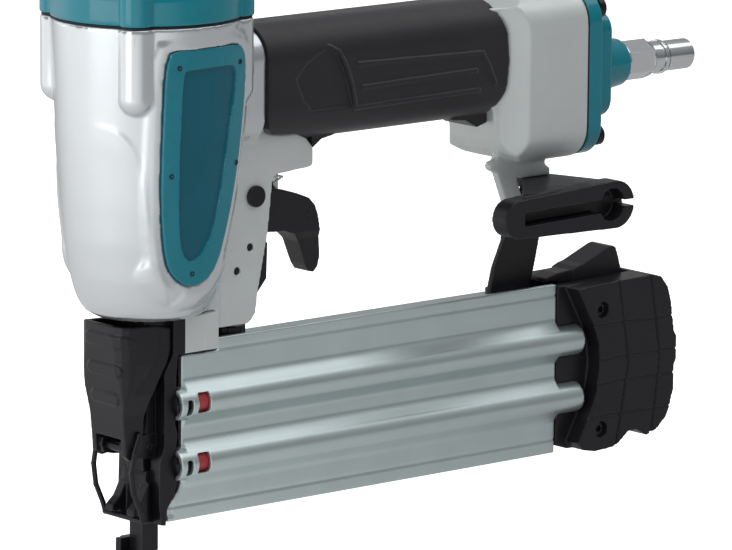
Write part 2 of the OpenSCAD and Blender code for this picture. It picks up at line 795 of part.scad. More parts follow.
module contact_arm() {
    color(black) union() {
        side(12.2, 13.6) polygon([
            [5.4, 9.5], [5.4, 4], [8.6, 6], [10.6, 12], [10.6, 76], [14, 79.8], [38.4, 82.8],
            [38.4, 88], [27, 88], [23, 84.6], [12, 84.6], [3.6, 78], [3.6, 26], [5.4, 20]
        ]);
        translate([30.6, 0, 83.8]) cube([7.8, 13.6, 2.2]);
        translate([30.6, -2.4, 83.8]) cube([7.8, 3, 2.2]);
    }
}

module push_lever() {
    color(black) side(-2.4, 2.4) polygon([
        [31, 86], [38, 86], [38, 88.4], [48.6, 93.6], [52.4, 98], [52.8, 110.6], [49.8, 114.4],
        [44.4, 114.2], [43.5, 112], [43.5, 101], [37, 93], [31, 93]
    ]);
}

module contact_arm_spring() {
    color(steel) translate([33, 0, 0]) coil(1.7, 0.6, 93, 102.3, 5);
}

module depth_adjuster() {
    color(black) translate([adjuster_x, 0, 0]) difference() {
        union() {
            translate([0, 0, 78.7]) cylinder(h = 4.8, r = 8);
            translate([0, 0, 83.3]) cylinder(h = 0.4, r = 3.4);
        }
        for (a = [0 : 20 : 350]) rotate([0, 0, a]) translate([8.5, 0, 78]) cylinder(h = 8, r = 0.9);
        translate([0, 0, 78]) cylinder(h = 2.2, r = 2.4);
    }
}

module c_section(top_z) {
    union() {
        polygon([
            [8.8, mag_z0], [mag_y, mag_z0], [mag_y, top_z], [8.6, top_z], [8.6, mag_z1 - 2.2],
            [8.8, mag_z1 - 2.2]
        ]);
        polygon([[0.6, 75.4], [9.3, 75.4], [9.3, mag_z1], [0.6, mag_z1]]);
        polygon([[0.6, mag_z0], [9, mag_z0], [9, 20.6], [0.6, 20.6]]);
    }
}

module magazine_front_cut() {
    side(-20, 20) polygon([
        [0, 80], [7, 80], [7, 33], [5.8, 29.4], [1, 23.4], [1, 10], [-10, 10], [-10, 90]
    ]);
    side(-20, 20) polygon([[0, 90], [0, 77], [23.4, 77], [23.4, 90]]);
    side(-6.8, 6.8) polygon([[-10, 10], [7, 10], [7, 40], [-10, 40]]);
}

module magazine_rail() {
    color(satin) difference() {
        union() {
            along(0, mag_x1) c_section(mag_z1);
            along(0, mag_x1) polygon([[0.9, 20], [2.3, 20], [2.3, 76], [0.9, 76]]);
        }
        magazine_front_cut();
        for (x = [169.8, 177.4]) translate([x, 6.2, 70]) cylinder(h = 12, r = 1.5);
        side(10.6, 12) polygon([[-1, 49.2], [200, 49.2], [200, 50.4], [-1, 50.4]]);
    }
}

module magazine_cover() {
    color(satin) difference() {
        union() {
            along(0, mag_x1) mirror([1, 0]) c_section(81.5);
            for (z = [tube_lo_z, tube_hi_z]) {
                along(3.6, 193.6) translate([tube_y, z]) circle(tube_r);
            }
        }
        difference() {
            magazine_front_cut();
            for (z = [tube_lo_z, tube_hi_z]) {
                along(3.6, 30) translate([tube_y, z]) circle(tube_r);
            }
        }
        for (z = [tube_lo_z, tube_hi_z]) {
            along(3, 194) translate([tube_y, z]) circle(tube_bore);
            along(8.6, mag_x1 - 8) polygon([[-9, z - 1.5], [-4, z - 1.5], [-4, z + 1.5], [-9, z + 1.5]]);
            side(-18, -12) translate([7.4, z - 0.9]) rrect(2.6, 5.6, 0.6);
            side(-18, -12) translate([13.7, z + 0.2]) rrect(5.4, 7.4, 1);
        }
        side(-12, -10.2) polygon([[-1, 23], [200, 23], [200, 23.9], [-1, 23.9]]);
        side(-12, -10.2) polygon([
            [-1, mag_z1 - 0.6], [200, mag_z1 - 0.6], [200, mag_z1 + 0.3], [-1, mag_z1 + 0.3]
        ]);
        side(-11.8, -4) polygon([[-1, 28], [5.3, 28], [5.3, 70], [-1, 70]]);
        side(-6.8, -4) polygon([[-1, 28], [7, 28], [7, 70], [-1, 70]]);
        along(-10, 3.5) translate([-13.4, 50]) square([5.8, 60], center = true);
    }
}

module block_outline() {
    polygon([
        [188.2, 80], [192, 73.2], [196.4, 65.6], [199, 58.2], [199.6, 50.8], [198.4, 41],
        [194.2, 31], [189.2, 22.2], [192, 19.2], [198, 18], [208, 18.6], [211.4, 21.2], [214.2, 23.4],
        [218.6, 23.6], [223.7, 20.8], [228.6, 22.4], [233.2, 26.4], [235.4, 30.6], [236, 34],
        [237, 36.4], [237, 46], [238.2, 48], [238.2, 56.6], [236.8, 59], [235.2, 70], [233.4, 76],
        [230, 80.2], [226, 81.4], [200, 80.8]
    ]);
}

module magazine_block() {
    color(black) difference() {
        union() {
            side(-18, 18) block_outline();
            side(-11, 11) polygon([
                [184, 80.6], [184, 21], [190, 19], [208, 19], [214, 24], [214, 81], [190, 80.6]
            ]);
        }
        for (z = [tube_lo_z, tube_hi_z]) {
            along(180, 193.7) translate([tube_y, z]) circle(tube_r + 0.05);
        }
        side(-6.3, 6.3) polygon([[183, 74.6], [224, 74.6], [224, 90], [183, 90]]);
        for (z = [26, 71]) {
            bar_y(200.6, z, 3, -19, -13);
            bar_y(200.6, z, 1.7, -19, 19);
            bar_y(200.6, z, 3, 13, 19);
        }
        bar_y(latch_px, latch_pz - 4, 1.5, -10, 10);
        for (s = [-1, 1]) {
            side(s * 18 - 0.9, s * 18 + 0.9) polygon([
                [205.6, 10], [206.8, 10], [214.4, 50], [207.6, 90], [206.4, 90], [213.2, 50]
            ]);
            side(s * 18 - 0.9, s * 18 + 0.9) polygon([
                [223.6, 10], [224.8, 10], [230.2, 50], [223.6, 90], [222.4, 90], [229, 50]
            ]);
            for (z = [30.6, 43, 52, 64.8]) {
                side(s * 18 - 0.6, s * 18 + 0.6) polygon([[190, z], [245, z - 0.4], [245, z + 0.5], [190, z + 0.9]]);
            }
        }
    }
    color(black) for (z = [tube_lo_z, tube_hi_z]) {
        along(189.5, 194) translate([tube_y, z]) circle(tube_bore - 0.05);
    }
}

module block_screws() {
    color(black) for (z = [26, 71]) difference() {
        union() {
            bar_y(200.6, z, 1.6, -16, 16);
            bar_y(200.6, z, 2.9, -16.4, -13);
            bar_y(200.6, z, 2.9, 13, 16);
        }
        side(-17, -15) translate([200.6, z]) circle(1.4, $fn = 6);
    }
}

module magazine_latch() {
    color(black) difference() {
        union() {
            side(-5.7, 5.7) polygon([
                [196, 84.4], [196, 77.2], [219, 76.8], [221.6, 79], [220.6, 83], [219, 88],
                [218, 90.8], [216.4, 91.6], [214.4, 91.4], [208, 88.8], [202, 86.4], [198.6, 85.6]
            ]);
            side(-4.4, 4.4) polygon([
                [184, 82.6], [184, 81.2], [190, 80.8], [192, 77.4], [197, 77.4], [197, 84.6], [190, 84]
            ]);
        }
        bar_y(latch_px, latch_pz - 4, 1.56, -12, 12);
    }
}

module magazine_latch_pin() {
    color(steel) bar_y(latch_px, latch_pz - 4, 1.5, -9.5, 9.5);
}

module pusher() {
    color(steel) union() {
        side(-0.5, 0.7) polygon([[9, 74], [9, 22], [22, 22], [26, 30], [26, 66], [22, 74]]);
        for (z = [tube_lo_z, tube_hi_z]) {
            along(9.4, 22) polygon([[-9, z - 1.3], [0, z - 1.3], [0, z + 1.3], [-9, z + 1.3]]);
            along(9, 10.4) translate([tube_y, z]) circle(tube_bore - 0.08);
            along(9, 26) translate([tube_y, z]) circle(3.2);
            along(17.6, 26) translate([tube_y, z]) circle(tube_bore - 0.08);
        }
    }
}

module pusher_indicators() {
    color([0.62, 0.1, 0.12]) for (z = [tube_lo_z, tube_hi_z]) difference() {
        along(10.4, 17.6) translate([tube_y, z]) circle(tube_bore - 0.1);
        along(10, 18) translate([tube_y, z]) circle(3.2);
        along(10, 18) polygon([[-9, z - 1.3], [0, z - 1.3], [0, z + 1.3], [-9, z + 1.3]]);
    }
}

module pusher_springs() {
    color(steel) for (z = [tube_lo_z, tube_hi_z]) {
        translate([0, tube_y, z]) rotate([0, 90, 0]) coil(3.1, 0.8, 26, 189.5, 22);
    }
}

module cylinder_sleeve() {
    rotate_extrude($fn = 96) polygon([
        [bore_r, 98], [cyl_r, 98], [cyl_r, 184], [23.6, 186], [23.6, 191.2], [bore_r, 191.2]
    ]);
}

module cylinder_part() {
    color(steel) cylinder_sleeve();
}

module piston() {
    color(steel) rotate_extrude($fn = 96) polygon([
        [0, 176], [4, 176], [4, 182], [17, 182], [bore_r - 0.05, 182.6], [bore_r - 0.05, 184.8],
        [15.9, 184.8], [15.9, 187.4], [bore_r - 0.05, 187.4], [bore_r - 0.05, 189.6],
        [17, 190.2], [13, 190.2], [11, 187.6], [0, 187.6]
    ]);
}

module piston_o_ring() {
    color(black) translate([0, 0, 186.1]) rotate_extrude($fn = 96)
        translate([bore_r - 1.3, 0]) circle(1.25, $fn = 32);
}

module driver_blade() {
    color(steel) translate([-0.6, -1.1, 72.5]) cube([1.2, 2.2, 103.5]);
}

module bumper() {
    color(black) rotate_extrude($fn = 96) polygon([
        [4.6, 98], [bore_r - 0.1, 98], [bore_r - 0.1, 104], [15.5, 110], [6, 110], [4.6, 108.6]
    ]);
}

module head_valve() {
    color(black) rotate_extrude($fn = 96) polygon([
        [9.6, 201], [9.6, 193.6], [11, 191.4], [22.6, 191.4], [25.1, 194], [25.1, 201], [22.4, 201],
        [22.4, 197], [14, 197], [14, 201]
    ]);
}

module head_valve_spring() {
    color(steel) coil(18.2, 1.6, 197, 216.2, 5);
}

housing();
cap_gasket();
head_cap();
head_bolts();
exhaust_deflector();
deflector_screw();
badge_left();
badge_right();
grip_sleeve();
end_cap_gasket();
end_cap();
end_cap_bolts();
air_plug();
hook();
hook_screw();
support_arm();
support_arm_screws();
trigger();
trigger_pin();
trigger_spring();
contact_lever();
contact_lever_pin();
roll_pins();
valve_case();
valve_stem();
valve_spring();
nose_block();
nose_bolts();
driver_guide();
nose_door();
door_pin();
latch_lever();
latch_lever_pin();
wire_bail();
contact_foot();
contact_arm();
push_lever();
contact_arm_spring();
depth_adjuster();
magazine_rail();
magazine_cover();
magazine_block();
block_screws();
magazine_latch();
magazine_latch_pin();
pusher();
pusher_indicators();
pusher_springs();
cylinder_part();  // cylinder
piston();
piston_o_ring();
driver_blade();
bumper();
head_valve();
head_valve_spring();
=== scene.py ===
import json
import math

import bmesh
import bpy
import numpy as np
from mathutils import Matrix, Vector

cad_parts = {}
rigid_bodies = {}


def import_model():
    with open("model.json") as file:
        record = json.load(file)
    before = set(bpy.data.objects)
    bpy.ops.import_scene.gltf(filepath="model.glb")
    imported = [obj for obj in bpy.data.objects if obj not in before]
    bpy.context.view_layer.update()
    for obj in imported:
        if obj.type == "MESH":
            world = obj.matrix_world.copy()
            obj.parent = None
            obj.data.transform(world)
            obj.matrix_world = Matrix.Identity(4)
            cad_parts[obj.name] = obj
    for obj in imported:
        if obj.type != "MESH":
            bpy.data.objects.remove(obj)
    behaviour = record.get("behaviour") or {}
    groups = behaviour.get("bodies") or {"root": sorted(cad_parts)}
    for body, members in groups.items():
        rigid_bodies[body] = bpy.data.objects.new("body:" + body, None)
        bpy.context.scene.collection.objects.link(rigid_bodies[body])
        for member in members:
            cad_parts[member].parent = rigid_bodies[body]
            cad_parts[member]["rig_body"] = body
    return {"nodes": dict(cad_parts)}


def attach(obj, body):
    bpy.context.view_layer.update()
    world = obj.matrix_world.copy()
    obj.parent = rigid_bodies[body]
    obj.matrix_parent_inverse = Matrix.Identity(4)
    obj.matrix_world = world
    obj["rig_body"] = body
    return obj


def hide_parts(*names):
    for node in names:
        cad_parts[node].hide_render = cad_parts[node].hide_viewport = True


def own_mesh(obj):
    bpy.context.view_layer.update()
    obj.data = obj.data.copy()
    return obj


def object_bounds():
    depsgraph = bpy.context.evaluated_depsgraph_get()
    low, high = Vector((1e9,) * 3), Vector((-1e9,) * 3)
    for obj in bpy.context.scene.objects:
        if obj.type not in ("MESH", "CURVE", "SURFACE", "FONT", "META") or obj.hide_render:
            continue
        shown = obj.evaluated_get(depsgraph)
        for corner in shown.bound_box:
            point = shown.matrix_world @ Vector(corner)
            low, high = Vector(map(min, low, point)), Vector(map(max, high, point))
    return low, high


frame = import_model()
cad_lo, cad_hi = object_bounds()
MM = 0.001

# ---------------------------------------------------------------- measures
BODY_Z = (91.0, 196.4)
BODY_TOP_R = 33.7
CREASE_H = 0.65
HOLLOW = 1.0
TUBE_R = 5.7
TUBE_Y = 10.5
TUBE_LEVELS = {"upper": 60, "lower": 38.5}
WALL_Y = 11
CAMERA_AZIMUTH = -40.6
CAMERA_ELEVATION = 10.74
CAMERA_ROLL = -0.47
CAMERA_DISTANCE = 2.1618
CAMERA_AIM = (0.0774, 0.10309)
CAMERA_LENS = 302.2


# ---------------------------------------------------------------- materials
def ramp(nodes, stops):
    node = nodes.new("ShaderNodeValToRGB")
    node.color_ramp.elements[0].position, node.color_ramp.elements[0].color = stops[0]
    node.color_ramp.elements[1].position, node.color_ramp.elements[1].color = stops[-1]
    for position, colour in stops[1:-1]:
        node.color_ramp.elements.new(position).color = colour
    return node


def shade(colour, share):
    return tuple(min(1.0, c * share) for c in colour[:3]) + (1.0,)


def finish(name, colour, rough, metallic=0.0, coat=0.0, grain=(1500, 0.15), blotch=0.06,
           wear_and_edge_highlight=(0.25, 1.5), streak=None, sheen=0.0, uneven=1.0):
    """One procedural surface: tinted colour, fine grain, uneven gloss, and edges lightened partly as wear
    and partly as a painted edge highlight.
    """
    made = bpy.data.materials.new(name)
    made.use_nodes = True
    nodes, links = made.node_tree.nodes, made.node_tree.links
    shader = nodes["Principled BSDF"]
    place = nodes.new("ShaderNodeTexCoord")
    scaled = nodes.new("ShaderNodeMapping")
    links.new(place.outputs["Object"], scaled.inputs["Vector"])
    if streak:
        scaled.inputs["Scale"].default_value = streak

    broad = nodes.new("ShaderNodeTexNoise")
    broad.inputs["Scale"].default_value = 70
    broad.inputs["Detail"].default_value = 4
    links.new(place.outputs["Object"], broad.inputs["Vector"])
    tint = ramp(nodes, [(0.3, shade(colour, 1 - blotch)), (0.7, shade(colour, 1 + blotch))])
    links.new(broad.outputs["Fac"], tint.inputs["Fac"])

    fine = nodes.new("ShaderNodeTexNoise")
    fine.inputs["Scale"].default_value = grain[0]
    fine.inputs["Detail"].default_value = 3
    links.new(scaled.outputs["Vector"], fine.inputs["Vector"])
    bump = nodes.new("ShaderNodeBump")
    bump.inputs["Strength"].default_value = grain[1]
    bump.inputs["Distance"].default_value = 0.0002
    links.new(fine.outputs["Fac"], bump.inputs["Height"])
    links.new(bump.outputs["Normal"], shader.inputs["Normal"])

    gloss = nodes.new("ShaderNodeMapRange")
    gloss.inputs["To Min"].default_value = max(0.03, rough - 0.06 * uneven)
    gloss.inputs["To Max"].default_value = rough + 0.08 * uneven
    patch = nodes.new("ShaderNodeTexNoise")
    patch.inputs["Scale"].default_value = 260
    links.new(scaled.outputs["Vector"], patch.inputs["Vector"])
    links.new(patch.outputs["Fac"], gloss.inputs["Value"])
    links.new(gloss.outputs["Result"], shader.inputs["Roughness"])

    # worn edges and painted edge highlights: edges are lightened where a rounded normal leaves the true one,
    # partly as wear and partly as a painted highlight
    rounded = nodes.new("ShaderNodeBevel")
    rounded.samples = 4
    rounded.inputs["Radius"].default_value = 0.0005
    true = nodes.new("ShaderNodeNewGeometry")
    dot = nodes.new("ShaderNodeVectorMath")
    dot.operation = "DOT_PRODUCT"
    links.new(rounded.outputs["Normal"], dot.inputs[0])
    links.new(true.outputs["Normal"], dot.inputs[1])
    edge = ramp(nodes, [(0.86, (wear_and_edge_highlight[0],) * 3 + (1.0,)), (0.985, (0.0, 0.0, 0.0, 1.0))])
    links.new(dot.outputs["Value"], edge.inputs["Fac"])
    broken = nodes.new("ShaderNodeMath")
    broken.operation = "MULTIPLY"
    links.new(edge.outputs["Color"], broken.inputs[0])
    links.new(patch.outputs["Fac"], broken.inputs[1])
    mix = nodes.new("ShaderNodeMix")
    mix.data_type = "RGBA"
    links.new(broken.outputs["Value"], mix.inputs["Factor"])
    links.new(tint.outputs["Color"], mix.inputs["A"])
    # edge colour: the base lightened, part wear and part painted edge highlight
    mix.inputs["B"].default_value = shade(tuple(c + 0.05 for c in colour), wear_and_edge_highlight[1])
    links.new(mix.outputs["Result"], shader.inputs["Base Color"])

    shader.inputs["Metallic"].default_value = metallic
    shader.inputs["Specular IOR Level"].default_value = 0.5 if metallic > 0.5 else 0.28
    shader.inputs["Coat Weight"].default_value = coat
    shader.inputs["Coat Roughness"].default_value = 0.07
    shader.inputs["Sheen Weight"].default_value = sheen
    made["slot"] = name
    return made


def srgb(r, g, b):
    def line(c):
        c = c / 255
        return c / 12.92 if c <= 0.04045 else ((c + 0.055) / 1.055) ** 2.4
    return (line(r), line(g), line(b))


# In each finish the tuple after the blotch sets the edge lightening, part wear and part painted edge
# highlight: its share and its brightness. The dark rubber, plastic and blued steel get strong painted edge
# highlights.
SILVER = finish("silver_paint", srgb(202, 206, 209), 0.24, 0.75, 0.6, (2600, 0.008), 0.01, (0.06, 1.1),
                None, 0.0, 0.15)
SATIN = finish("cast_metal", srgb(203, 208, 207), 0.42, 0.3, 0.1, (1900, 0.08), 0.03, (0.3, 1.15))
TEAL = finish("teal_paint", srgb(0, 122, 138), 0.14, 0.0, 0.35, (900, 0.02), 0.04, (0.25, 1.5))
PLATE = finish("teal_plate", srgb(0, 118, 134), 0.2, 0.0, 0.4, (1300, 0.03), 0.05, (0.25, 1.5))
RECESS = finish("teal_recess", srgb(0, 88, 106), 0.34, 0.0, 0.1, (2400, 0.12), 0.06, (0.2, 1.4))
RUBBER = finish("grip_rubber", srgb(31, 29, 33), 0.42, 0.0, 0.0, (3200, 0.14), 0.1, (0.3, 2.2), None, 0.15)
PLASTIC = finish("black_plastic", srgb(30, 28, 32), 0.34, 0.0, 0.0, (2200, 0.12), 0.08, (0.35, 2.2))
BLUED = finish("blued_steel", srgb(36, 35, 40), 0.3, 0.6, 0.0, (1600, 0.06), 0.1, (0.5, 3.0))
STEEL = finish("bright_steel", srgb(186, 188, 190), 0.26, 1.0, 0.0, (1200, 0.06), 0.05, (0.3, 1.2))
CHROME = finish("chrome_plate", srgb(214, 216, 218), 0.12, 1.0, 0.0, (900, 0.02), 0.03, (0.2, 1.1))
ANODISED = finish("anodised", srgb(196, 208, 208), 0.33, 0.8, 0.0, (700, 0.06), 0.03, (0.4, 1.2),
                  (0.03, 1.0, 1.0))
SEAL = finish("seal_rubber", srgb(32, 32, 34), 0.5, 0.0, 0.0, (2600, 0.1), 0.08, (0.2, 1.6))
RED = finish("red_plastic", srgb(176, 58, 66), 0.3, 0.0, 0.3, (1500, 0.05), 0.08, (0.2, 1.4))


# ---------------------------------------------------------------- mesh helpers
def bake(obj):
    """Applies every modifier, so that the mesh is final."""
    graph = bpy.context.evaluated_depsgraph_get()
    mesh = bpy.data.meshes.new_from_object(obj.evaluated_get(graph))
    obj.modifiers.clear()
    obj.data = mesh
    return obj


def copy_of(node, name):
    source = frame["nodes"][node]
    mesh = source.data.copy()
    mesh.materials.clear()
    obj = bpy.data.objects.new(name, mesh)
    bpy.context.scene.collection.objects.link(obj)
    weld = obj.modifiers.new("weld", "WELD")
    weld.merge_threshold = 2e-6
    return obj


def dress(obj, material, node=None, body=None):
    """Gives a finished piece its surface and its place on a body."""
    if not obj.data.materials:
        obj.data.materials.append(material)
    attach(obj, body or frame["nodes"][node]["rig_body"])
    if node:
        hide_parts(node)
    return obj


def points_of(obj):
    co = np.zeros(len(obj.data.vertices) * 3)
    obj.data.vertices.foreach_get("co", co)
    return co.reshape(-1, 3) / MM


def set_points(obj, co):
    obj.data.vertices.foreach_set("co", (co * MM).ravel())
    obj.data.update()


def moulded(node, name, material, voxel, rounds, reshape=None):
    """A cast or moulded part: even skin with every edge softly rounded."""
    obj = copy_of(node, name)
    remesh = obj.modifiers.new("skin", "REMESH")
    remesh.mode = "VOXEL"
    remesh.voxel_size = voxel * MM
    soft = obj.modifiers.new("soft", "SMOOTH")
    soft.iterations = rounds
    bake(obj)
    if reshape:
        reshape(obj)
    obj.data.shade_smooth()
    return dress(obj, material, node)


def machined(node, name, material, width=0.25, angle=32):
    """A turned, stamped or extruded part: crisp faces with a fine edge break."""
    obj = copy_of(node, name)
    bevel = obj.modifiers.new("edge", "BEVEL")
    bevel.width = width * MM
    bevel.segments = 2
    bevel.limit_method = "ANGLE"
    bevel.angle_limit = math.radians(angle)
    bake(obj)
    obj.data.shade_smooth()
    obj.data.set_sharp_from_angle(angle=math.radians(42))
    weighted = obj.modifiers.new("even", "WEIGHTED_NORMAL")
    weighted.keep_sharp = True
    return dress(obj, material, node)


def smooth_step(x):
    t = np.clip(x, 0, 1)
    return t * t * (3 - 2 * t)


def side_of_line(points, line):
    """Signed distance to a smooth line, positive on its right, and the share of its length reached."""
    line = np.array(line, float)
    best = np.full(len(points), 1e9)
    signed = np.zeros(len(points))
    share = np.zeros(len(points))
    spans = np.linalg.norm(np.diff(line, axis=0), axis=1)
    ends = np.concatenate([[0], np.cumsum(spans)]) / spans.sum()
    for k in range(len(line) - 1):
        a, b = line[k], line[k + 1]
        along = b - a
        t = np.clip(((points - a) @ along) / (along @ along), 0, 1)
        gap = points - (a + t[:, None] * along)
        d = np.linalg.norm(gap, axis=1)
        cross = along[0] * (points[:, 1] - a[1]) - along[1] * (points[:, 0] - a[0])
        near = d < best
        best = np.where(near, d, best)
        signed = np.where(near, np.where(cross > 0, d, -d), signed)
        share = np.where(near, ends[k] + t * (ends[k + 1] - ends[k]), share)
    return signed, share


def rounded_line(points, steps=6):
    """Catmull-Rom curve through a few points."""
    p = [np.array(q, float) for q in points]
    p = [2 * p[0] - p[1]] + p + [2 * p[-1] - p[-2]]
    out = []
    for k in range(1, len(p) - 2):
        for s in range(steps):
            t = s / steps
            out.append(0.5 * (2 * p[k] + (p[k + 1] - p[k - 1]) * t
                              + (2 * p[k - 1] - 5 * p[k] + 4 * p[k + 1] - p[k + 2]) * t * t
                              + (3 * p[k] - p[k - 1] - 3 * p[k + 1] + p[k + 2]) * t ** 3))
    out.append(p[-2])
    return out


def coil(name, node, material, radius, wire, start, axis, length, turns):
    """A true helical spring, swept as one mesh."""
    axis = Vector(axis)
    side = axis.orthogonal().normalized()
    other = axis.cross(side)
    ring, per_turn = 10, 28
    total = int(turns * per_turn)
    mesh = bmesh.new()
    rows = []
    for i in range(total + 1):
        share = i / total
        angle = 2 * math.pi * i / per_turn
        out = side * math.cos(angle) + other * math.sin(angle)
        centre = Vector(start) + axis * (wire / 2 + (length - wire) * share) + out * radius
        row = []
        for k in range(ring):
            a = 2 * math.pi * k / ring
            row.append(mesh.verts.new((centre + (out * math.cos(a) + axis * math.sin(a)) * wire / 2) * MM))
        rows.append(row)
    for a, b in zip(rows, rows[1:]):
        for k in range(ring):
            mesh.faces.new((a[k], b[k], b[(k + 1) % ring], a[(k + 1) % ring]))
    mesh.faces.new(rows[0])
    mesh.faces.new(list(reversed(rows[-1])))
    bmesh.ops.recalc_face_normals(mesh, faces=mesh.faces)
    data = bpy.data.meshes.new(name)
    mesh.to_mesh(data)
    mesh.free()
    data.shade_smooth()
    obj = bpy.data.objects.new(name, data)
    bpy.context.scene.collection.objects.link(obj)
    return dress(obj, material, None, frame["nodes"][node]["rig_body"])


# ---------------------------------------------------------------- main casting
CREASE = rounded_line([(-178, 161.8), (-168, 161.7), (-160.9, 161.3), (-150.6, 160.1), (-142, 157.2),
                       (-136.8, 152.6), (-133.4, 147), (-131, 139.5), (-128.4, 131), (-124.3, 121.5),
                       (-120.1, 112.5), (-116, 106)])
BODY_PROFILE = ((14, 91), (18.5, 91.8), (21.5, 93.4), (23.6, 96), (25.2, 100), (27, 107), (28.9, 120),
                (30.2, 135), (31.6, 155), (32.8, 178), (BODY_TOP_R, BODY_Z[1]))
HEAD_BOLT_XY = 22
BOSS_R = 6
BOSS_FOOT_Z = 172
PAD_CENTRE = 27
ARM_SLOT_X = 30.5
PLATE_FOOT_Z = 96
PLATE_FOOT_R = 55.6
PLATE_LEAN = 4.3 / 90
PAD_INSET = 0.9
RECESS_DEPTH = 0.55


def crease_height(angle, z):
    """Raised sweep on each side of the body, with a hollow that widens towards the foot."""
    flat = np.stack([np.radians(-np.abs(angle)) * 31, z], axis=1)
    line = [(math.radians(a) * 31, h) for a, h in CREASE]
    signed, share = side_of_line(flat, line)
    signed = -signed
    fade = smooth_step(share / 0.7) * (1 - smooth_step((100.5 - z) / 3))
    low = smooth_step((142 - z) / 32)
    width = 3.2 + 4.8 * low
    climb = (signed + width) / width
    rise = smooth_step(climb)
    hollow = HOLLOW * low * (1 - np.clip(climb, 0, 1)) * smooth_step((signed + width + 0.9) / 0.9)
    lip = 0.16 * np.exp(-(signed / 1.0) ** 2)
    far = 1 - smooth_step((signed - 1.5) / 9)
    return fade * (CREASE_H * rise * far + lip - hollow)


def blend_up(a, b, k):
    """The larger of two surfaces, with a fillet where they meet."""
    return np.maximum(a, b) + np.maximum(k - np.abs(a - b), 0) ** 2 / (4 * k)


def body_radius(z):
    heights = np.linspace(90, 197, 400)
    r = np.interp(heights, [p[1] for p in BODY_PROFILE], [p[0] for p in BODY_PROFILE])
    kernel = np.exp(-(np.linspace(-2, 2, 31)) ** 2)
    padded = np.concatenate([2 * r[0] - r[15:0:-1], r, 2 * r[-1] - r[-2:-17:-1]])
    r = np.convolve(padded, kernel / kernel.sum(), "valid")
    return np.interp(z, heights, r)


def corner_boss(angle, z):
    """Radius of the ridge over a head bolt, ending in a rounded foot."""
    off = np.radians(np.abs(np.abs(angle) - 90) - 45)
    reach = HEAD_BOLT_XY * math.sqrt(2)
    low = np.clip(BOSS_FOOT_Z - z, 0, BOSS_R)
    r = np.sqrt(BOSS_R ** 2 - low ** 2)
    inside = r ** 2 - (reach * np.sin(off)) ** 2
    front = reach * np.cos(off) + np.sqrt(np.maximum(inside, 0))
    return np.where((inside > 0) & (np.abs(off) < 0.5), front, 0)


def plate_reach(z):
    """Distance from a side plate's turning centre to its outer face."""
    return PLATE_FOOT_R + PLATE_LEAN * (z - PLATE_FOOT_Z)


def pad_radius(angle, z):
    """Radius of the gently curved pad that carries a side plate."""
    a = np.radians(np.abs(angle))
    c = np.cos(a) + PAD_CENTRE * -np.sin(a)
    r = plate_reach(z) - PAD_INSET
    return c + np.sqrt(np.maximum(c * c - 1 - PAD_CENTRE ** 2 + r * r, 0))


def turns_right(a, b, c):
    return (b[0] - a[0]) * (c[1] - a[1]) - (b[1] - a[1]) * (c[0] - a[0]) <= 0


def plate_outline():
    """Outline of a side plate in X and Z, anticlockwise."""
    spots = sorted({(round(v.co.x / MM, 2), round(v.co.z / MM, 2))
                    for v in frame["nodes"]["badge_left"].data.vertices})
    halves = []
    for run in (spots, spots[::-1]):
        chain = []
        for q in run:
            while len(chain) > 1 and turns_right(chain[-2], chain[-1], q):
                chain.pop()
            chain.append(q)
        halves.append(chain[:-1])
    return np.array(halves[0] + halves[1])


def outside_plate(co):
    """Distance in X and Z from the edge of the side plate, positive outside."""
    rim = plate_outline()
    best = np.full(len(co), -1e9)
    for a, b in zip(rim, np.roll(rim, -1, axis=0)):
        along = (b - a) / np.linalg.norm(b - a)
        best = np.maximum(best, (co[:, 0] - a[0]) * along[1] - (co[:, 2] - a[1]) * along[0])
    return best


def soften(obj, weights, rounds):
    """Smooths part of a piece's skin, more where the weight is higher."""
    group = obj.vertex_groups.new(name="soften")
    steps = np.ceil(weights * 10)
    for level in range(1, 11):
        group.add([int(i) for i in np.flatnonzero(steps == level)], level / 10, "REPLACE")
    soft = obj.modifiers.new("soft", "SMOOTH")
    soft.iterations = rounds
    soft.vertex_group = group.name
    bake(obj)


def shape_housing(obj):
    """Lays the casting's skin on one smooth form: barrel, bolt ridges, plate pads and the swept crease."""
    co = points_of(obj)
    z = co[:, 2]
    r = np.hypot(co[:, 0], co[:, 1])
    angle = np.degrees(np.arctan2(co[:, 1], co[:, 0]))
    plain = body_radius(z)
    target = blend_up(plain, corner_boss(angle, z), 1.8)
    gap = outside_plate(co)
    pad = pad_radius(angle, z)
    raised = blend_up(target, pad, 1.2) - target
    side_on = np.abs(co[:, 1]) > 12
    skirt = 3.2 + 5 * smooth_step((118 - z) / 12)
    target = target + np.where(side_on, raised * (1 - smooth_step((gap - 2.4) / skirt)), 0)
    target = target + np.where(gap > 0, crease_height(angle, z), 0) * smooth_step((gap - 1) / 4)
    skin = r > plain - 1.3
    off_handle = smooth_step((np.maximum(24 - co[:, 0], np.abs(co[:, 1]) - 17) - 0.5) / 4)
    off_handle = np.where(z > 142, off_handle, 1)
    off_frame = smooth_step((np.maximum(17 - co[:, 0], np.abs(co[:, 1]) - 10) - 0.5) / 3)
    off_frame = np.where(z < 156, off_frame, 1)
    off_pocket = np.where(side_on, smooth_step((gap - 0.25) / 0.6), 1)
    ends = smooth_step((z - 93) / 4) * smooth_step((BODY_Z[1] - 0.5 - z) / 1.0)
    weight = np.where(skin & (r < 46), off_handle * off_frame * off_pocket * ends, 0)
    share = 1 + weight * (target / np.maximum(r, 1) - 1)
    co[:, 0] *= share
    co[:, 1] *= share
    in_slot = (np.abs(co[:, 1]) < 3.6) & (np.abs(co[:, 0] - ARM_SLOT_X) < 0.8) & (z < 122)
    co[:, 0] -= np.where(in_slot, 0.4, 0)
    set_points(obj, co)
    round_plate = skin & side_on & (gap > 0.8)
    soften(obj, np.where(round_plate, 1 - smooth_step((gap - 3) / 7), 0), 14)


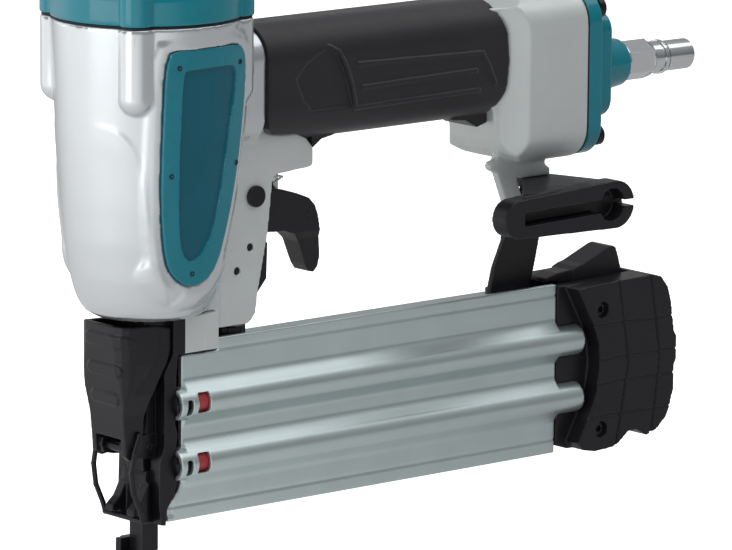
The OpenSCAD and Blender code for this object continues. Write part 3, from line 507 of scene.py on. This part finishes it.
def paint_faces(obj, other, chooser):
    """Gives some faces of a piece a second surface."""
    obj.data.materials.append(other)
    centres = np.zeros(len(obj.data.polygons) * 3)
    obj.data.polygons.foreach_get("center", centres)
    centres = centres.reshape(-1, 3) / MM
    index = np.where(chooser(centres), 1, 0).astype(np.int32)
    obj.data.polygons.foreach_set("material_index", index)
    obj.data.update()


def is_cast_frame(c):
    """Duller parts of the casting: the rear housing, the trigger frame and its side walls."""
    x, y, z = c[:, 0], np.abs(c[:, 1]), c[:, 2]
    rear = x > 141
    walls = (y > 9.2) & (y < 10.6) & (x > 22) & (z < 152) & (np.hypot(x, y) > 27.4)
    frame_side = (x > 36) & (z < 153)
    return rear | walls | frame_side


housing = moulded("housing", "housing_casting", SILVER, 0.55, 9, shape_housing)
paint_faces(housing, SATIN, is_cast_frame)

moulded("cap_gasket", "cap_gasket_ring", SEAL, 0.35, 2)
moulded("head_cap", "head_cap_moulding", TEAL, 0.5, 6)
machined("head_bolts", "head_bolt_set", STEEL)
moulded("exhaust_deflector", "exhaust_deflector_moulding", PLASTIC, 0.45, 4)
machined("deflector_screw", "deflector_screw_turned", STEEL)


def in_badge_panel(c):
    reach = np.hypot(c[:, 0] - 1, np.abs(c[:, 1]) + PAD_CENTRE)
    return reach < plate_reach(c[:, 2]) - RECESS_DEPTH


def pin_heads(name, places, mirror):
    """Small sunk pins that hold a side plate."""
    mesh = bmesh.new()
    for x, z in places:
        r = plate_reach(z)
        y = PAD_CENTRE - math.sqrt(r * r - (x - 1) ** 2)
        rings = []
        for radius, out in ((0.95, -0.5), (0.95, 0.1), (0.8, 0.22), (0.5, 0.2), (0.42, -0.25), (0.12, -0.3)):
            rings.append([mesh.verts.new(Vector((x + radius * math.cos(a), (y - out) * mirror,
                                                 z + radius * math.sin(a))) * MM)
                          for a in np.linspace(0, 2 * math.pi, 16, endpoint=False)])
        for a, b in zip(rings, rings[1:]):
            for k in range(16):
                mesh.faces.new((a[k], a[(k + 1) % 16], b[(k + 1) % 16], b[k]))
        mesh.faces.new(rings[-1])
        mesh.faces.new(rings[0])
    bmesh.ops.recalc_face_normals(mesh, faces=mesh.faces)
    data = bpy.data.meshes.new(name)
    mesh.to_mesh(data)
    mesh.free()
    data.shade_smooth()
    data.set_sharp_from_angle(angle=math.radians(50))
    obj = bpy.data.objects.new(name, data)
    bpy.context.scene.collection.objects.link(obj)
    return dress(obj, BLUED, None, "gun_body")


PIN_PLACES = ((-10.6, 182.6), (-12.3, 145), (-3, 110), (16.6, 182.4), (16.4, 147))
for side_name, mirror in (("left", 1), ("right", -1)):
    plate = moulded("badge_" + side_name, "side_plate_" + side_name, PLATE, 0.28, 4)
    paint_faces(plate, RECESS, in_badge_panel)
    pin_heads("side_plate_pins_" + side_name, PIN_PLACES, mirror)

# ---------------------------------------------------------------- handle end
moulded("grip_sleeve", "grip_rubber_sleeve", RUBBER, 0.4, 2)
moulded("end_cap_gasket", "end_cap_gasket_ring", SEAL, 0.35, 1)
moulded("end_cap", "end_cap_moulding", TEAL, 0.45, 3)
machined("end_cap_bolts", "end_cap_bolt_set", BLUED, 0.3)
machined("air_plug", "air_plug_turned", CHROME, 0.25)
moulded("hook", "hook_moulding", PLASTIC, 0.4, 3)
machined("hook_screw", "hook_screw_turned", BLUED)
moulded("support_arm", "support_arm_casting", PLASTIC, 0.35, 3)
machined("support_arm_screws", "support_arm_screw_set", BLUED)

# ---------------------------------------------------------------- trigger group
moulded("trigger", "trigger_moulding", PLASTIC, 0.35, 3)
machined("trigger_pin", "trigger_pin_turned", BLUED, 0.4)
machined("contact_lever", "contact_lever_stamping", STEEL, 0.15)
machined("contact_lever_pin", "contact_lever_pin_turned", BLUED)
machined("roll_pins", "roll_pin_set", BLUED)
machined("valve_case", "valve_case_moulding", PLASTIC, 0.2)
machined("valve_stem", "valve_stem_turned", STEEL, 0.15)

# ---------------------------------------------------------------- nose
moulded("nose_block", "nose_block_casting", SATIN, 0.4, 3)
machined("nose_bolts", "nose_bolt_set", BLUED)
machined("driver_guide", "driver_guide_casting", BLUED, 0.3)
moulded("nose_door", "nose_door_casting", BLUED, 0.3, 2)
machined("door_pin", "door_pin_turned", BLUED)
moulded("latch_lever", "latch_lever_moulding", PLASTIC, 0.3, 4)
machined("latch_lever_pin", "latch_lever_pin_turned", BLUED)
machined("wire_bail", "wire_bail_bent", BLUED, 0.05, 70)
moulded("contact_foot", "contact_foot_casting", BLUED, 0.3, 2)
machined("contact_arm", "contact_arm_stamping", BLUED, 0.2)
machined("push_lever", "push_lever_stamping", BLUED, 0.2)
moulded("depth_adjuster", "depth_adjuster_moulding", PLASTIC, 0.3, 2)

# ---------------------------------------------------------------- magazine
machined("magazine_rail", "magazine_rail_extrusion", ANODISED, 0.2)


def shape_cover(obj):
    """Runs each tube into the wall with a broad fillet, as an extrusion does."""
    co = points_of(obj)
    for level in TUBE_LEVELS.values():
        off = np.abs(co[:, 2] - level)
        tube = TUBE_Y + np.sqrt(np.maximum(TUBE_R ** 2 - off ** 2, 0))
        tube = np.where(off < TUBE_R, tube, TUBE_Y)
        hard = np.maximum(WALL_Y, tube)
        rise = blend_up(np.full(len(off), float(WALL_Y)), TUBE_Y + TUBE_R - off ** 2 / 9.2, 3.5)
        soft = np.maximum(hard, rise * (off < 10) + WALL_Y * (off >= 10))
        near = (np.abs(co[:, 1] + hard) < 0.5) & (off < 10.4) & (co[:, 0] > 7.6) & (co[:, 0] < 183.2)
        co[:, 1] = np.where(near, -soft, co[:, 1])
    set_points(obj, co)


moulded("magazine_cover", "magazine_cover_extrusion", ANODISED, 0.4, 1, shape_cover)
moulded("magazine_block", "magazine_block_moulding", PLASTIC, 0.36, 2)
machined("block_screws", "block_screw_set", BLUED, 0.2)
moulded("magazine_latch", "magazine_latch_moulding", PLASTIC, 0.3, 3)
machined("magazine_latch_pin", "magazine_latch_pin_turned", STEEL)
machined("pusher", "pusher_plate", STEEL, 0.15)
machined("pusher_indicators", "pusher_indicator_set", RED, 0.15)

# ---------------------------------------------------------------- inside
machined("cylinder", "cylinder_liner", STEEL, 0.3)
machined("piston", "piston_turned", STEEL, 0.2)
machined("piston_o_ring", "piston_ring_seal", SEAL, 0.05, 70)
machined("driver_blade", "driver_blade_ground", STEEL, 0.15)
machined("bumper", "bumper_moulding", SEAL, 0.4)
moulded("head_valve", "head_valve_moulding", PLASTIC, 0.45, 2)

# ---------------------------------------------------------------- springs
valve_spring = coil("valve_spring_wire", "valve_spring", STEEL, 3.4, 0.7, (57, 0, 143), (0, 0, 1), 6.6, 5)
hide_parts("valve_spring")
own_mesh(valve_spring)
arm_spring = coil("contact_arm_spring_wire", "contact_arm_spring", STEEL, 1.7, 0.6, (33, 0, 93), (0, 0, 1),
                  9.3, 5)
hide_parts("contact_arm_spring")
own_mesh(arm_spring)
head_spring = coil("head_valve_spring_wire", "head_valve_spring", STEEL, 18.2, 1.6, (0, 0, 197), (0, 0, 1),
                   19.2, 5)
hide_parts("head_valve_spring")
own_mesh(head_spring)
for side_name, level in TUBE_LEVELS.items():
    wound = coil("pusher_spring_" + side_name, "pusher_springs", STEEL, 3.1, 0.8, (26, -TUBE_Y, level),
                 (1, 0, 0), 163.5, 34)
    if side_name == "upper":
        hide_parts("pusher_springs")
    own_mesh(wound)
bent = machined("trigger_spring", "trigger_spring_wire", STEEL, 0.04, 70)
bake(bent)
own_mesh(bent)


# ---------------------------------------------------------------- studio
def area_light(name, place, aim, size, power, colour=(1, 1, 1)):
    data = bpy.data.lights.new(name, "AREA")
    data.shape = "RECTANGLE"
    data.size, data.size_y = size
    data.energy = power
    data.color = colour
    lamp = bpy.data.objects.new(name, data)
    lamp.location = place
    lamp.rotation_mode = "QUATERNION"
    lamp.rotation_quaternion = (Vector(aim) - Vector(place)).to_track_quat("-Z", "Y")
    bpy.context.scene.collection.objects.link(lamp)
    return lamp


centre = (cad_lo + cad_hi) / 2
area_light("key_front", (-1.15, 0.0, 0.4), centre, (0.8, 1.0), 5.0)
area_light("overhead", (0.4, -0.35, 1.25), centre, (1.8, 1.2), 7.8)
area_light("back_left", (-0.6, 1.1, 0.5), centre, (0.5, 0.9), 1.3)

world = bpy.data.worlds.new("studio")
bpy.context.scene.world = world
world.use_nodes = True
wn, wl = world.node_tree.nodes, world.node_tree.links
background = wn["Background"]
facing = wn.new("ShaderNodeTexCoord")
split = wn.new("ShaderNodeSeparateXYZ")
wl.new(facing.outputs["Generated"], split.inputs["Vector"])
lift = ramp(wn, [(0.0, (0.30, 0.30, 0.31, 1)), (0.45, (0.16, 0.165, 0.17, 1)),
                 (0.58, (0.20, 0.205, 0.21, 1)), (1.0, (0.55, 0.56, 0.57, 1))])
height = wn.new("ShaderNodeMapRange")
height.inputs["From Min"].default_value = -1
wl.new(split.outputs["Z"], height.inputs["Value"])
wl.new(height.outputs["Result"], lift.inputs["Fac"])
seen = wn.new("ShaderNodeLightPath")
choose = wn.new("ShaderNodeMix")
choose.data_type = "RGBA"
wl.new(seen.outputs["Is Camera Ray"], choose.inputs["Factor"])
wl.new(lift.outputs["Color"], choose.inputs["A"])
choose.inputs["B"].default_value = (1, 1, 1, 1)
wl.new(choose.outputs["Result"], background.inputs["Color"])


def floor_with_painted_glow():
    """Plain white sweep: flat under the tool and curved up far behind it. The camera sees it evenly white.
    Reflections and bounce light see it dark grey with a painted glow, brighter towards negative X, that
    stands in for a light card.
    """
    mesh = bmesh.new()
    rows = []
    for k in range(25):
        t = k / 24
        y = -2.5 + 6.5 * t
        z = 1.8 * max(0.0, (t - 0.62) / 0.38) ** 2.2
        rows.append([mesh.verts.new((x, y, z - 0.0004)) for x in (-5, -2, 0, 2, 5)])
    for a, b in zip(rows, rows[1:]):
        for k in range(4):
            mesh.faces.new((a[k], a[k + 1], b[k + 1], b[k]))
    data = bpy.data.meshes.new("floor")
    mesh.to_mesh(data)
    mesh.free()
    data.shade_smooth()
    obj = bpy.data.objects.new("floor", data)
    bpy.context.scene.collection.objects.link(obj)
    made = bpy.data.materials.new("floor_with_painted_glow")
    made.use_nodes = True
    shader = made.node_tree.nodes["Principled BSDF"]
    # camera rays see a white floor, other rays a dark grey one under the painted glow
    tone = made.node_tree.nodes.new("ShaderNodeMix")
    tone.data_type = "RGBA"
    tone.inputs["A"].default_value = (0.2, 0.2, 0.2, 1)
    tone.inputs["B"].default_value = (0.9, 0.9, 0.9, 1)
    made.node_tree.links.new(tone.outputs["Result"], shader.inputs["Base Color"])
    shader.inputs["Roughness"].default_value = 0.9
    shader.inputs["Emission Color"].default_value = (1, 1, 1, 1)
    path = made.node_tree.nodes.new("ShaderNodeLightPath")
    backdrop_and_painted_glow = made.node_tree.nodes.new("ShaderNodeMapRange")
    backdrop_and_painted_glow.inputs["To Max"].default_value = 0.9
    spot = made.node_tree.nodes.new("ShaderNodeNewGeometry")
    apart = made.node_tree.nodes.new("ShaderNodeSeparateXYZ")
    # painted glow: for rays other than the camera's, the floor emits more towards negative X, a glowing card
    # seen in reflections though it is no lamp
    painted_reflection_card = made.node_tree.nodes.new("ShaderNodeMapRange")
    painted_reflection_card.inputs["From Min"].default_value = -0.65
    painted_reflection_card.inputs["From Max"].default_value = 0.2
    painted_reflection_card.inputs["To Min"].default_value = 1.25
    painted_reflection_card.inputs["To Max"].default_value = 0.32
    made.node_tree.links.new(spot.outputs["Position"], apart.inputs["Vector"])
    made.node_tree.links.new(apart.outputs["X"], painted_reflection_card.inputs["Value"])
    made.node_tree.links.new(painted_reflection_card.outputs["Result"], backdrop_and_painted_glow.inputs["To Min"])
    made.node_tree.links.new(path.outputs["Is Camera Ray"], backdrop_and_painted_glow.inputs["Value"])
    made.node_tree.links.new(path.outputs["Is Camera Ray"], tone.inputs["Factor"])
    made.node_tree.links.new(backdrop_and_painted_glow.outputs["Result"], shader.inputs["Emission Strength"])
    data.materials.append(made)
    turn = Matrix.Rotation(math.radians(CAMERA_AZIMUTH), 4, "Z")
    obj.matrix_world = turn
    return obj


floor_with_painted_glow()

# ---------------------------------------------------------------- camera
azimuth, elevation = math.radians(-CAMERA_AZIMUTH), math.radians(CAMERA_ELEVATION)
back = Vector((-math.sin(azimuth) * math.cos(elevation), -math.cos(azimuth) * math.cos(elevation),
               math.sin(elevation)))
right = Vector((math.cos(azimuth), -math.sin(azimuth), 0))
up = right.cross(-back)
roll = math.radians(CAMERA_ROLL)
right_r = right * math.cos(roll) - up * math.sin(roll)
up_r = up * math.cos(roll) + right * math.sin(roll)
camera = bpy.data.objects.new("camera", bpy.data.cameras.new("camera"))
camera.data.lens = CAMERA_LENS
camera.data.sensor_width = 36
camera.data.clip_start, camera.data.clip_end = 0.1, 30
place = right_r * CAMERA_AIM[0] + up_r * CAMERA_AIM[1] + back * CAMERA_DISTANCE
camera.matrix_world = Matrix((
    (right_r.x, up_r.x, back.x, place.x),
    (right_r.y, up_r.y, back.y, place.y),
    (right_r.z, up_r.z, back.z, place.z),
    (0, 0, 0, 1)))
bpy.context.scene.collection.objects.link(camera)
bpy.context.scene.camera = camera
bpy.context.scene.view_settings.view_transform = "Standard"
